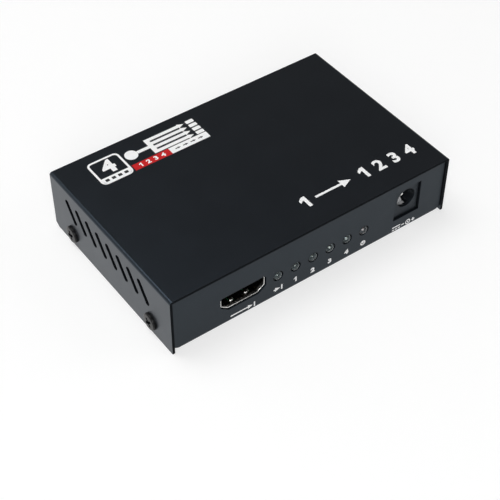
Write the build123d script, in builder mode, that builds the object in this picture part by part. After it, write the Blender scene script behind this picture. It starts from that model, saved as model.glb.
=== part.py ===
from build123d import *
import os
from math import sqrt

os.makedirs("parts", exist_ok=True)

# Video splitter in a sheet-metal case: one input port in front, four output ports at the rear.
# X runs along the front panel, Y from the front to the rear, Z up. The origin is on the surface
# that the case stands on, under its middle. Millimetres.

# Case: a base tray (floor, front and rear panels) that slides into a cover (top and two sides)
case_length = 95.0
case_depth = 61.0
case_height = 20.0
cover_sheet = 0.8
cover_bend = 0.9
cover_corner_run = 1.7
cover_corner_rise = 1.0
tray_sheet = 0.8
tray_bend = 1.2
tray_corner_run = 2.5
tray_corner_rise = 1.5
slide_gap = 0.2
panel_setback = 0.5

# Slanted vent slots in both sides of the cover
vent_count = 8
vent_pitch = 5.3
vent_length = 7.9
vent_width = 1.95
vent_corner = 0.5
vent_slant = 35.0
vent_row_shift = 1.2
vent_row_height = 12.7

# Screws: pan heads on the cover, flat cheese heads on the board, one thread for both
screw_head_radius = 2.65
screw_head_rim = 0.35
screw_head_height = 1.25
screw_head_slope = 0.9
screw_radius = 1.45
screw_length = 4.0
thread_gap = 0.05
screw_hole_gap = 0.2
board_screw_head_radius = 2.6
board_screw_head_height = 1.4

# Tapped ears, bent up from the floor, that the cover's screws go into
ear_width = 12.0
ear_height = 9.0
ear_relief = 0.8
ear_edge_run = 10.2
ear_screw_height = 4.0

# Main board on standoffs that are swaged flush into the floor
board_thickness = 1.6
board_gap = 0.5
standoff_height = 3.0
standoff_across_flats = 5.2
swage_gap = 0.03
board_hole_inset = 3.5
front_hole_inset = 5.2
rear_hole_gap = 0.8
lead_gap = 0.12
lead_stub = 0.9

# Ports: a stamped shell round an insulator whose tongue carries two rows of contacts
port_width = 14.0
port_height = 4.55
port_key_run = 2.2
port_key_rise = 1.6
port_corner = 0.35
shell_sheet = 0.3
shell_depth = 11.5
shell_recess = 0.75
port_panel_gap = 0.2
input_port_share = -0.2537
output_edge_run = 13.75
output_row_shift = 0.5
output_count = 4
flap_drop = 3.3
spring_spread = 5.2
spring_width = 1.2
spring_start = 1.3
spring_length = 3.8
spring_crest_share = 0.82
spring_dip = 0.35
spring_gap = 0.3
shell_leg_width = 1.2
shell_leg_start = 1.6
shell_leg_spread = 6.0
tongue_width = 11.0
tongue_thickness = 1.1
tongue_recess = 1.5
tongue_chamfer = 0.2
insulator_block_depth = 3.4
insulator_gap = 0.04
contact_pitch = 1.0
contact_width = 0.34
contact_thickness = 0.15
contact_setback = 0.5
contact_upper_count = 10
contact_lower_count = 9
contact_row_step = 0.35
contact_clearance = 0.06

# Lights: round lamps lying on their side, with two leads bent down onto the board
light_radius = 1.5
light_dome_share = 0.5
light_length = 5.3
light_proud = 0.45
light_hole_gap = 0.18
light_axis_height = 2.6
light_row_share = -0.1323
light_pitch = 6.0
light_lead_side = 0.5
light_lead_pitch = 2.54
light_lead_run = 1.5

# DC power jack
jack_share = 0.349
jack_width = 9.0
jack_height = 10.4
jack_depth = 14.2
jack_face_depth = 3.4
jack_recess = 0.7
jack_panel_gap = 0.2
jack_barrel_width = 8.0
jack_axis_height = 6.0
jack_bore_radius = 3.15
jack_bore_depth = 9.5
jack_pin_radius = 1.0
jack_pin_recess = 1.7
jack_pin_neck_radius = 0.7
jack_pin_gap = 0.03
jack_terminal_width = 2.2
jack_terminal_sheet = 0.3
jack_pocket_width = 3.6
jack_pocket_front = 1.2
jack_pocket_rear = 12.9
leaf_width = 2.4
leaf_sheet = 0.3
leaf_root_depth = 12.0
leaf_root_height = 1.9
leaf_crown_depth = 4.2
leaf_crown_rise = 1.1
leaf_heel_depth = 2.8
leaf_tip_depth = 1.6
leaf_tip_height = 1.95
leaf_gap = 0.05
switch_width = 0.9
switch_side_gap = 0.25

# Splitter chip under its heat sink, and the smaller parts on the board
splitter_side = 14.0
splitter_height = 1.4
splitter_x = -2.0
splitter_y = 0.0
chip_chamfer = 0.2
tab_sheet = 0.15
pad_side = 12.0
pad_thickness = 0.5
sink_side = 14.0
sink_height = 4.8
sink_base = 1.3
sink_fin_count = 6
sink_fin_thickness = 0.9
controller_side = 7.0
controller_height = 0.9
small_part_gap = 3.0
memory_length = 4.9
memory_width = 3.9
memory_height = 0.9
regulator_length = 6.5
regulator_width = 3.5
regulator_height = 1.6
regulator_tab_width = 3.0
regulator_tab_reach = 1.7
regulator_lead_pitch = 2.3
regulator_lead_width = 0.7
regulator_spacing = 9.5
capacitor_radius = 2.5
capacitor_side = 5.3
capacitor_base = 0.9
capacitor_height = 5.4
capacitor_bevel = 1.0
inductor_side = 6.0
inductor_height = 2.8
inductor_bevel = 1.2
crystal_length = 5.0
crystal_width = 3.2
crystal_base = 0.5
crystal_height = 1.1
crystal_lip = 0.3
diode_length = 4.3
diode_width = 2.6
diode_height = 2.2
diode_tab_reach = 0.5
diode_tab_width = 1.5
fuse_length = 4.5
fuse_width = 3.2
fuse_height = 0.8
chip_length = 1.6
chip_width = 0.8
chip_height = 0.5
chip_pitch = 2.4
chip_row_count = 4
chip_row_gap = 1.6

# Places that follow from the sizes above
tray_length = case_length - 2 * (cover_sheet + slide_gap)
tray_depth = case_depth - 2 * panel_setback
tray_height = case_height - cover_sheet - slide_gap
front_y = -tray_depth / 2
rear_y = tray_depth / 2
board_length = case_length - 2 * (screw_length + board_gap)
board_depth = tray_depth - 2 * (tray_sheet + board_gap)
board_underside = tray_sheet + standoff_height
board_top = board_underside + board_thickness
port_z = board_top + shell_sheet + port_height / 2
light_z = board_top + light_axis_height
jack_bore_height = jack_axis_height - jack_bore_radius

# Outside faces of the front and rear panels, seen from outside: x to the right, y up, z outward
front_panel = Plane(origin=(0, front_y, 0), x_dir=(1, 0, 0), z_dir=(0, -1, 0))
rear_panel = Plane(origin=(0, rear_y, 0), x_dir=(-1, 0, 0), z_dir=(0, 1, 0))


# Outside face of a panel, with its origin at a place on it
def at_panel(panel, across, up):
    return Plane(
        origin=panel.from_local_coords((across, up, 0)), x_dir=panel.x_dir, z_dir=panel.z_dir
    )


# Upright plane along the depth of a part behind a panel: x runs into the case, y is up
def along_depth(plane, across):
    return Plane(
        origin=plane.from_local_coords((across, 0, 0)), x_dir=-plane.z_dir, z_dir=plane.x_dir
    )


# Places on the board of points given across and into the case from a panel plane
def board_places(plane, points):
    places = [plane.from_local_coords((across, 0, -depth)) for across, depth in points]
    return [(place.X, place.Y) for place in places]


# Shares of the case's length, from its middle, place what the front panel shows
input_port_x = input_port_share * case_length
light_row_x = light_row_share * case_length
jack_x = jack_share * case_length

# The output ports fill the rear panel, the outer two as far from the case's sides
output_port_pitch = (case_length - 2 * output_edge_run) / (output_count - 1)
output_port_xs = [
    output_row_shift + (number - (output_count - 1) / 2) * output_port_pitch
    for number in range(output_count)
]
ports = {"input_port": at_panel(front_panel, input_port_x, port_z)}
for number, port_x in enumerate(output_port_xs, start=1):
    ports[f"output_port_{number}"] = at_panel(rear_panel, -port_x, port_z)

light_names = ["input_light"]
light_names += [f"output_light_{number}" for number in range(1, output_count + 1)]
light_names += ["power_light"]
lights = {
    name: at_panel(front_panel, light_row_x + place * light_pitch, light_z)
    for place, name in enumerate(light_names)
}
jack = at_panel(front_panel, jack_x, board_top)
jack_face = jack.offset(-jack_recess)
jack_axis_plane = at_panel(jack_face, 0, jack_axis_height)

# Cover screws: two on each side
ear_ys = [ear_edge_run - case_depth / 2, case_depth / 2 - ear_edge_run]
cover_screw_planes = []
for side in (-1, 1):
    for ear_y in ear_ys:
        cover_screw_planes.append(
            Plane(
                origin=(side * case_length / 2, ear_y, ear_screw_height),
                x_dir=(0, side, 0),
                z_dir=(side, 0, 0),
            )
        )

# Rows of chip capacitors stand behind every port
port_row_depth = shell_recess + shell_depth + chip_row_gap + chip_length / 2

# Board screws: one at the front left, one at the rear right
board_hole_x = board_length / 2 - board_hole_inset
front_hole_y = -board_depth / 2 + front_hole_inset
chip_row_y = rear_y - port_row_depth - chip_length / 2
rear_hole_y = chip_row_y - board_screw_head_radius - rear_hole_gap
board_hole_places = [
    (-board_hole_x, front_hole_y),
    (board_hole_x, rear_hole_y),
]


# A sheet bent to a channel: the web lies along the bottom and the flanges stand up from its
# ends. A tight bend is only broken outside, a wide one is round on both faces.
def draw_channel(sketch, width, height, sheet, bend):
    Rectangle(width, height, align=(Align.CENTER, Align.MIN))
    outer_corners = sketch.vertices().group_by(Axis.Y)[0]
    if bend > sheet:
        fillet(outer_corners, bend)
    else:
        chamfer(outer_corners, bend / 2)
    with Locations((0, sheet)):
        Rectangle(
            width - 2 * sheet, height, align=(Align.CENTER, Align.MIN), mode=Mode.SUBTRACT
        )
    if bend > sheet:
        fillet(sketch.vertices(Select.LAST).group_by(Axis.Y)[0], bend - sheet)


# The keyed outline of a port's mouth, wide side up, grown by a margin all round
def port_outline(margin):
    half_width = port_width / 2
    half_height = port_height / 2
    with BuildSketch() as outline:
        Polygon(
            (-half_width, half_height),
            (-half_width, port_key_rise - half_height),
            (port_key_run - half_width, -half_height),
            (half_width - port_key_run, -half_height),
            (half_width, port_key_rise - half_height),
            (half_width, half_height),
        )
        chamfer(outline.vertices().group_by(Axis.Y)[-1], port_corner)
        if margin:
            offset(amount=margin, kind=Kind.INTERSECTION, mode=Mode.REPLACE)
    return outline.sketch


# Cover: top and two sides, with vent slots and screw holes in the sides
cover_top_plane = Plane(origin=(0, 0, case_height), x_dir=(1, 0, 0), z_dir=(0, 1, 0))
with BuildPart() as top_cover:
    with BuildSketch(cover_top_plane) as cover_section:
        draw_channel(cover_section, case_length, case_height, cover_sheet, cover_bend)
    extrude(amount=case_depth / 2, both=True)
    # Both sides have the bottom corner at the rear cut off
    with BuildSketch(Plane.YZ):
        with BuildLine():
            Polyline(
                (case_depth / 2, 0),
                (case_depth / 2 - cover_corner_run, 0),
                (case_depth / 2, cover_corner_rise),
                close=True,
            )
        make_face()
    extrude(amount=case_length, both=True, mode=Mode.SUBTRACT)
    with BuildSketch(Plane.YZ) as side_holes:
        with Locations((vent_row_shift, vent_row_height)):
            with GridLocations(vent_pitch, vent_pitch, vent_count, 1):
                Rectangle(vent_length, vent_width, rotation=90 - vent_slant)
        chamfer(side_holes.vertices(), vent_corner)
        with Locations(*[(ear_y, ear_screw_height) for ear_y in ear_ys]):
            Circle(screw_radius + screw_hole_gap)
    extrude(amount=case_length, both=True, mode=Mode.SUBTRACT)
top_cover.part.label = "top_cover"
export_step(top_cover.part, "parts/top_cover.step")

# Base tray: floor, front and rear panels, and the tapped ears
with BuildPart() as base_tray:
    with BuildSketch(Plane.YZ) as tray_section:
        draw_channel(tray_section, tray_depth, tray_height, tray_sheet, tray_bend)
    extrude(amount=tray_length / 2, both=True)
    # The panels' bottom corners are cut off, where two bends would meet
    with BuildSketch(front_panel, rear_panel):
        for side in (-1, 1):
            with BuildLine():
                Polyline(
                    (side * tray_length / 2, 0),
                    (side * (tray_length / 2 - tray_corner_run), 0),
                    (side * tray_length / 2, tray_corner_rise),
                    close=True,
                )
            make_face()
    extrude(amount=-tray_bend, mode=Mode.SUBTRACT)
    # Reliefs beside each ear, then the ears, bent up from the floor
    with BuildSketch(Plane.XY):
        for side in (-1, 1):
            with Locations(*[(side * (tray_length - tray_bend) / 2, ear_y) for ear_y in ear_ys]):
                Rectangle(tray_bend, ear_width + 2 * ear_relief)
    extrude(amount=tray_sheet, mode=Mode.SUBTRACT)
    ear_planes = [Plane(origin=(0, y, 0), x_dir=(1, 0, 0), z_dir=(0, -1, 0)) for y in ear_ys]
    for ear_plane in ear_planes:
        with BuildSketch(ear_plane) as ear_section:
            draw_channel(ear_section, tray_length, ear_height, tray_sheet, tray_sheet)
        extrude(amount=ear_width / 2, both=True)
    # Tapped holes in the ears
    with BuildSketch(*cover_screw_planes):
        Circle(screw_radius + thread_gap)
    extrude(amount=-cover_sheet - slide_gap - tray_sheet, mode=Mode.SUBTRACT)
    # Holes that the standoffs are swaged into
    with BuildSketch(Plane.XY):
        with Locations(*board_hole_places):
            RegularPolygon(standoff_across_flats / 2 + swage_gap, 6, major_radius=False)
    extrude(amount=tray_sheet, mode=Mode.SUBTRACT)
    # Openings in the panels for the ports, the lights and the jack
    for port in ports.values():
        with BuildSketch(port):
            add(port_outline(shell_sheet + port_panel_gap))
        extrude(amount=-tray_sheet, mode=Mode.SUBTRACT)
    with BuildSketch(*lights.values()):
        Circle(light_radius + light_hole_gap)
    extrude(amount=-tray_sheet, mode=Mode.SUBTRACT)
    with BuildSketch(jack):
        with Locations((0, -jack_panel_gap)):
            Rectangle(
                jack_width + 2 * jack_panel_gap,
                jack_height + 2 * jack_panel_gap,
                align=(Align.CENTER, Align.MIN),
            )
    extrude(amount=-tray_sheet, mode=Mode.SUBTRACT)
base_tray.part.label = "base_tray"
export_step(base_tray.part, "parts/base_tray.step")

# One pan-head screw, its head's seat at zero and its shank below
with BuildPart() as pan_screw:
    with BuildSketch(Plane.XZ):
        with BuildLine():
            Polyline(
                (0, -screw_length),
                (screw_radius, -screw_length),
                (screw_radius, 0),
                (screw_head_radius, 0),
                (screw_head_radius, screw_head_rim),
                (screw_head_radius - screw_head_slope, screw_head_height),
                (0, screw_head_height),
                close=True,
            )
        make_face()
    revolve(axis=Axis.Z)

with BuildPart() as cover_screws:
    with Locations(*cover_screw_planes):
        add(pan_screw.part)
cover_screws.part.label = "cover_screws"
export_step(cover_screws.part, "parts/cover_screws.step")

with BuildPart() as board_screws:
    with BuildSketch(Plane.XY.offset(board_top)):
        with Locations(*board_hole_places):
            Circle(board_screw_head_radius)
    extrude(amount=board_screw_head_height)
    with BuildSketch(Plane.XY.offset(board_top)):
        with Locations(*board_hole_places):
            Circle(screw_radius)
    extrude(amount=-screw_length)
board_screws.part.label = "board_screws"
export_step(board_screws.part, "parts/board_screws.step")

# Hexagonal standoffs, their foot swaged flush into the floor
with BuildPart() as board_standoffs:
    with BuildSketch(Plane.XY):
        with Locations(*board_hole_places):
            RegularPolygon(standoff_across_flats / 2, 6, major_radius=False)
            Circle(screw_radius + thread_gap, mode=Mode.SUBTRACT)
    extrude(amount=board_underside)
board_standoffs.part.label = "board_standoffs"
export_step(board_standoffs.part, "parts/board_standoffs.step")

# Depths behind the panel's outside face that the port's pieces share
insulator_rear = shell_recess + shell_depth - shell_sheet - 2 * contact_row_step
shell_leg_x = port_width / 2 + shell_sheet / 2
shell_leg_depths = [
    shell_recess + shell_leg_start + shell_leg_width / 2,
    shell_recess + shell_leg_start + shell_leg_width / 2 + shell_leg_spread,
]
shell_leg_points = [(side * shell_leg_x, depth) for side in (-1, 1) for depth in shell_leg_depths]

# Terminals of the jack, as places in the board
jack_pin_terminal_depth = jack_recess + jack_depth + jack_terminal_sheet / 2
leaf_terminal_depth = jack_recess + leaf_root_depth
switch_x = -jack_width / 2 + jack_terminal_sheet / 2
switch_depth = jack_recess + leaf_tip_depth + switch_width / 2
lead_end = -board_thickness - lead_stub

with BuildPart() as main_board:
    with BuildSketch(Plane.XY.offset(board_underside)):
        Rectangle(board_length, board_depth)
        with Locations(*board_hole_places):
            Circle(screw_radius + screw_hole_gap, mode=Mode.SUBTRACT)
        for port in ports.values():
            with Locations(*board_places(port, shell_leg_points)):
                Rectangle(
                    shell_sheet + 2 * lead_gap,
                    shell_leg_width + 2 * lead_gap,
                    mode=Mode.SUBTRACT,
                )
        with Locations(*board_places(jack, [(0, jack_pin_terminal_depth)])):
            Rectangle(
                jack_terminal_width + 2 * lead_gap,
                jack_terminal_sheet + 2 * lead_gap,
                mode=Mode.SUBTRACT,
            )
        with Locations(*board_places(jack, [(0, leaf_terminal_depth)])):
            Rectangle(
                leaf_width + 2 * lead_gap,
                jack_terminal_sheet + 2 * lead_gap,
                mode=Mode.SUBTRACT,
            )
        with Locations(*board_places(jack, [(switch_x, switch_depth)])):
            Rectangle(
                jack_terminal_sheet + 2 * lead_gap,
                switch_width + 2 * lead_gap,
                mode=Mode.SUBTRACT,
            )
    extrude(amount=board_thickness)
main_board.part.label = "main_board"
export_step(main_board.part, "parts/main_board.step")

# Contact rows across the port
upper_contact_xs = [
    (place - (contact_upper_count - 1) / 2) * contact_pitch for place in range(contact_upper_count)
]
lower_contact_xs = [
    (place - (contact_lower_count - 1) / 2) * contact_pitch for place in range(contact_lower_count)
]

for port_name, port in ports.items():
    # Stamped shell: keyed tube, rear flap, four spring fingers and four legs
    with BuildPart() as port_shell:
        with BuildSketch(port.offset(-shell_recess)):
            add(port_outline(shell_sheet))
            add(port_outline(0), mode=Mode.SUBTRACT)
        extrude(amount=-shell_depth)
        with BuildSketch(port.offset(shell_sheet - shell_recess - shell_depth)):
            add(port_outline(0))
            with Locations((0, port_height / 2 - flap_drop)):
                Rectangle(
                    port_width, port_height, align=(Align.CENTER, Align.MAX), mode=Mode.SUBTRACT
                )
        extrude(amount=-shell_sheet)
        # The bottom ends short of the rear, where the contacts come down to the board
        with BuildSketch(port.offset(-insulator_rear)):
            with Locations((0, -port_height / 2 - shell_sheet)):
                Rectangle(
                    port_width,
                    shell_sheet + port_height - flap_drop,
                    align=(Align.CENTER, Align.MIN),
                )
        extrude(amount=-shell_depth, mode=Mode.SUBTRACT)
        # Windows round the spring fingers, through the top and the bottom
        finger_tip = shell_recess + spring_start
        finger_root = finger_tip + spring_length
        window_centre = port.offset((spring_length + spring_gap) / 2 - finger_root)
        with BuildSketch(Plane(origin=window_centre.origin, x_dir=port.x_dir, z_dir=port.y_dir)):
            with GridLocations(spring_spread, spring_spread, 2, 1):
                Rectangle(spring_width + 2 * spring_gap, spring_length + spring_gap)
        extrude(amount=port_height, both=True, mode=Mode.SUBTRACT)
        # Each finger dips into the port to a crest near its free end
        for up in (-1, 1):
            inner = up * port_height / 2
            outer = up * (port_height / 2 + shell_sheet)
            dip = up * spring_dip
            crest = finger_root - spring_length * spring_crest_share
            with BuildSketch(
                *[along_depth(port, side * spring_spread / 2) for side in (-1, 1)]
            ):
                with BuildLine():
                    Polyline(
                        (finger_root + shell_sheet, inner),
                        (finger_root + shell_sheet, outer),
                        (finger_root, outer),
                        (crest, outer - dip),
                        (finger_tip, outer),
                        (finger_tip, inner),
                        (crest, inner - dip),
                        (finger_root, inner),
                        close=True,
                    )
                make_face()
            extrude(amount=spring_width / 2, both=True)
        # Legs, straight down from the side walls through the board
        leg_top = port_key_rise - port_height / 2
        leg_bottom = lead_end - (port_z - board_top)
        for side in (-1, 1):
            with BuildSketch(along_depth(port, side * shell_leg_x)):
                for depth in shell_leg_depths:
                    with Locations((depth, leg_top + shell_leg_width)):
                        Rectangle(
                            shell_leg_width,
                            leg_top + shell_leg_width - leg_bottom,
                            align=(Align.CENTER, Align.MAX),
                        )
            extrude(amount=shell_sheet / 2, both=True)
    port_shell.part.label = f"{port_name}_shell"
    export_step(port_shell.part, f"parts/{port_name}_shell.step")

    # Insulator: a block that fills the rear of the shell, and the tongue
    block_front = insulator_rear - insulator_block_depth
    tongue_front = shell_recess + tongue_recess
    with BuildPart() as port_insulator:
        with BuildSketch(port.offset(-block_front)):
            add(port_outline(-insulator_gap))
        extrude(amount=-insulator_block_depth)
        with BuildSketch(port.offset(-tongue_front)):
            Rectangle(tongue_width, tongue_thickness)
        extrude(amount=tongue_front - block_front)
        tongue_edges = port_insulator.faces().sort_by(Axis(port.origin, port.z_dir))[-1].edges()
        chamfer(tongue_edges, tongue_chamfer)
        # Channels that the contacts run through, above and below the tongue's level
        channel_height = contact_thickness + contact_clearance
        with BuildSketch(port.offset(-block_front)):
            for up in (-1, 1):
                with Locations((0, up * (tongue_thickness + channel_height) / 2)):
                    Rectangle(contact_upper_count * contact_pitch, channel_height)
        extrude(amount=-insulator_block_depth, mode=Mode.SUBTRACT)
    port_insulator.part.label = f"{port_name}_insulator"
    export_step(port_insulator.part, f"parts/{port_name}_insulator.step")

    # Contacts: strips along the tongue, bent down to the board behind the block
    board_level = -(port_z - board_top)
    contact_front = tongue_front + contact_setback
    with BuildPart() as port_contacts:
        for up, contact_xs, row in ((1, upper_contact_xs, 1), (-1, lower_contact_xs, 0)):
            level = up * tongue_thickness / 2
            near = level if up == 1 else level - contact_thickness
            far = near + contact_thickness
            drop = insulator_rear + contact_clearance + row * contact_row_step
            with BuildSketch(*[along_depth(port, contact_x) for contact_x in contact_xs]):
                with BuildLine():
                    Polyline(
                        (contact_front, near),
                        (contact_front, far),
                        (drop + contact_thickness, far),
                        (drop + contact_thickness, board_level),
                        (drop, board_level),
                        (drop, near),
                        close=True,
                    )
                make_face()
            extrude(amount=contact_width / 2, both=True)
    port_contacts.part.label = f"{port_name}_contacts"
    export_step(port_contacts.part, f"parts/{port_name}_contacts.step")

# Lights: round bodies along the depth, narrowing towards the tip
light_base = light_length - light_proud
light_tip_radius = light_radius * light_dome_share
for light_name, light in lights.items():
    with BuildPart() as lamp:
        with BuildSketch(along_depth(light, 0)):
            with BuildLine():
                Polyline(
                    (light_base, 0),
                    (light_base, light_radius),
                    (light_tip_radius - light_proud, light_radius),
                    (-light_proud, light_tip_radius),
                    (-light_proud, 0),
                    close=True,
                )
            make_face()
        revolve(axis=Axis(light.origin, light.z_dir))
    lamp.part.label = light_name
    export_step(lamp.part, f"parts/{light_name}.step")

lead_back = light_base + light_lead_run
lead_top = light_lead_side / 2
light_lead_xs = [-light_lead_pitch / 2, light_lead_pitch / 2]
with BuildPart() as light_leads:
    for light in lights.values():
        with BuildSketch(*[along_depth(light, lead_x) for lead_x in light_lead_xs]):
            with BuildLine():
                Polyline(
                    (light_base, lead_top),
                    (lead_back, lead_top),
                    (lead_back, -light_axis_height),
                    (lead_back - light_lead_side, -light_axis_height),
                    (lead_back - light_lead_side, -lead_top),
                    (light_base, -lead_top),
                    close=True,
                )
            make_face()
        extrude(amount=light_lead_side / 2, both=True)
light_leads.part.label = "light_leads"
export_step(light_leads.part, "parts/light_leads.step")

# DC jack housing: a square face block and an arched body behind it, open underneath
jack_side = along_depth(jack_face, 0)
leaf_tip_top = leaf_tip_height + leaf_sheet / 2
switch_finger_height = leaf_tip_top + leaf_gap
channel_top = switch_finger_height + jack_terminal_sheet + leaf_gap
with BuildPart() as dc_jack_housing:
    with BuildSketch(jack_face):
        Rectangle(jack_width, jack_height, align=(Align.CENTER, Align.MIN))
    extrude(amount=-jack_face_depth)
    with BuildSketch(jack_face.offset(-jack_face_depth)):
        Rectangle(jack_barrel_width, jack_axis_height, align=(Align.CENTER, Align.MIN))
        with Locations((0, jack_axis_height)):
            Circle(jack_barrel_width / 2)
    extrude(amount=jack_face_depth - jack_depth)
    with BuildSketch(jack_axis_plane):
        Circle(jack_bore_radius)
    extrude(amount=-jack_bore_depth, mode=Mode.SUBTRACT)
    # Pocket for the leaf, up into the bore, and the side channel for the switch contact
    pocket_half = jack_pocket_width / 2
    pocket_top = jack_axis_height - sqrt(jack_bore_radius**2 - pocket_half**2)
    pocket_middle = (jack_pocket_front + jack_pocket_rear) / 2
    with BuildSketch(jack_side):
        with Locations((pocket_middle, 0)):
            Rectangle(
                jack_pocket_rear - jack_pocket_front,
                pocket_top,
                align=(Align.CENTER, Align.MIN),
            )
    extrude(amount=pocket_half, both=True, mode=Mode.SUBTRACT)
    with BuildSketch(jack_side):
        with Locations((leaf_tip_depth + switch_width / 2, 0)):
            Rectangle(
                switch_width + 2 * switch_side_gap, channel_top, align=(Align.CENTER, Align.MIN)
            )
    extrude(amount=-jack_width, mode=Mode.SUBTRACT)
    # Hole that holds the centre pin's neck
    with BuildSketch(jack_axis_plane):
        Circle(jack_pin_neck_radius + jack_pin_gap)
    extrude(amount=-jack_depth, mode=Mode.SUBTRACT)
dc_jack_housing.part.label = "dc_jack_housing"
export_step(dc_jack_housing.part, "parts/dc_jack_housing.step")

# Centre pin, its neck through the housing's rear wall and its terminal down into the board
with BuildPart() as dc_jack_pin:
    with BuildSketch(jack_axis_plane.offset(-jack_pin_recess)):
        Circle(jack_pin_radius)
    extrude(amount=jack_pin_recess - jack_bore_depth)
    with BuildSketch(jack_axis_plane.offset(-jack_bore_depth)):
        Circle(jack_pin_neck_radius)
    extrude(amount=jack_bore_depth - jack_depth)
    with BuildSketch(jack_face.offset(-jack_depth)):
        with Locations((0, jack_axis_height + jack_pin_radius)):
            Rectangle(
                jack_terminal_width,
                jack_axis_height + jack_pin_radius - lead_end,
                align=(Align.CENTER, Align.MAX),
            )
    extrude(amount=-jack_terminal_sheet)
dc_jack_pin.part.label = "dc_jack_pin"
export_step(dc_jack_pin.part, "parts/dc_jack_pin.step")

# Spring leaf: from its root up to a crown in the bore, then down to a flat tip
crown_height = jack_bore_height + leaf_crown_rise - leaf_sheet / 2
with BuildPart() as dc_jack_spring_leaf:
    with BuildSketch(jack_side):
        with BuildLine():
            Polyline(
                (leaf_root_depth, leaf_root_height),
                (leaf_crown_depth, crown_height),
                (leaf_heel_depth, leaf_tip_height),
                (leaf_tip_depth, leaf_tip_height),
            )
        trace(line_width=leaf_sheet)
    extrude(amount=leaf_width / 2, both=True)
dc_jack_spring_leaf.part.label = "dc_jack_spring_leaf"
export_step(dc_jack_spring_leaf.part, "parts/dc_jack_spring_leaf.step")

# Root terminal under the leaf's root
leaf_underside = leaf_root_height - leaf_sheet / 2
with BuildPart() as dc_jack_root_terminal:
    with BuildSketch(jack_side):
        with Locations((leaf_root_depth, leaf_underside - leaf_gap)):
            Rectangle(
                jack_terminal_sheet,
                leaf_underside - leaf_gap - lead_end,
                align=(Align.CENTER, Align.MAX),
            )
    extrude(amount=leaf_width / 2, both=True)
dc_jack_root_terminal.part.label = "dc_jack_root_terminal"
export_step(dc_jack_root_terminal.part, "parts/dc_jack_root_terminal.step")

# Switch contact: a leg at the jack's side and a finger over the leaf's tip
with BuildPart() as dc_jack_switch_contact:
    with BuildSketch(jack_face.offset(-leaf_tip_depth)):
        with BuildLine():
            Polyline(
                (-jack_width / 2, lead_end),
                (-jack_width / 2, switch_finger_height + jack_terminal_sheet),
                (leaf_width / 2, switch_finger_height + jack_terminal_sheet),
                (leaf_width / 2, switch_finger_height),
                (-jack_width / 2 + jack_terminal_sheet, switch_finger_height),
                (-jack_width / 2 + jack_terminal_sheet, lead_end),
                close=True,
            )
        make_face()
    extrude(amount=-switch_width)
dc_jack_switch_contact.part.label = "dc_jack_switch_contact"
export_step(dc_jack_switch_contact.part, "parts/dc_jack_switch_contact.step")


# Splitter chip, the pad on it and the heat sink on that
with BuildPart() as splitter_chip:
    with BuildSketch(Plane.XY.offset(board_top)):
        with Locations((splitter_x, splitter_y)):
            Rectangle(splitter_side, splitter_side)
    extrude(amount=splitter_height)
    chamfer(splitter_chip.edges().filter_by(Axis.Z), chip_chamfer)
splitter_chip.part.label = "splitter_chip"
export_step(splitter_chip.part, "parts/splitter_chip.step")

pad_z = board_top + splitter_height
with BuildPart() as thermal_pad:
    with BuildSketch(Plane.XY.offset(pad_z)):
        with Locations((splitter_x, splitter_y)):
            Rectangle(pad_side, pad_side)
    extrude(amount=pad_thickness)
thermal_pad.part.label = "thermal_pad"
export_step(thermal_pad.part, "parts/thermal_pad.step")

sink_z = pad_z + pad_thickness
sink_section = Plane(origin=(splitter_x, splitter_y, sink_z), x_dir=(1, 0, 0), z_dir=(0, -1, 0))
fin_pitch = (sink_side - sink_fin_thickness) / (sink_fin_count - 1)
with BuildPart() as heat_sink:
    with BuildSketch(sink_section):
        Rectangle(sink_side, sink_base, align=(Align.CENTER, Align.MIN))
        with GridLocations(fin_pitch, fin_pitch, sink_fin_count, 1):
            Rectangle(sink_fin_thickness, sink_height, align=(Align.CENTER, Align.MIN))
    extrude(amount=sink_side / 2, both=True)
heat_sink.part.label = "heat_sink"
export_step(heat_sink.part, "parts/heat_sink.step")

# Left of the splitter chip: the controller, with the memory and the crystal midway between it
# and the rows of chips behind the ports
left_x = splitter_x - splitter_side / 2 - small_part_gap
controller_x = left_x - controller_side / 2
memory_y = (splitter_y + controller_side / 2 + chip_row_y) / 2
crystal_y = (splitter_y - controller_side / 2 - chip_row_y) / 2
with BuildPart() as controller_chip:
    with BuildSketch(Plane.XY.offset(board_top)):
        with Locations((controller_x, splitter_y)):
            Rectangle(controller_side, controller_side)
    extrude(amount=controller_height)
    chamfer(controller_chip.edges().filter_by(Axis.Z), chip_chamfer)
controller_chip.part.label = "controller_chip"
export_step(controller_chip.part, "parts/controller_chip.step")

with BuildPart() as memory_chip:
    with BuildSketch(Plane.XY.offset(board_top)):
        with Locations((controller_x, memory_y)):
            Rectangle(memory_length, memory_width)
    extrude(amount=memory_height)
    chamfer(memory_chip.edges().filter_by(Axis.Z), chip_chamfer)
memory_chip.part.label = "memory_chip"
export_step(memory_chip.part, "parts/memory_chip.step")

# Crystal: a metal lid on a ceramic base
with BuildPart() as crystal:
    with BuildSketch(Plane.XY.offset(board_top)):
        with Locations((controller_x, crystal_y)):
            Rectangle(crystal_length, crystal_width)
    extrude(amount=crystal_base)
    with BuildSketch(Plane.XY.offset(board_top + crystal_base)):
        with Locations((controller_x, crystal_y)):
            Rectangle(crystal_length - 2 * crystal_lip, crystal_width - 2 * crystal_lip)
    extrude(amount=crystal_height - crystal_base)
crystal.part.label = "crystal"
export_step(crystal.part, "parts/crystal.step")

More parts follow.
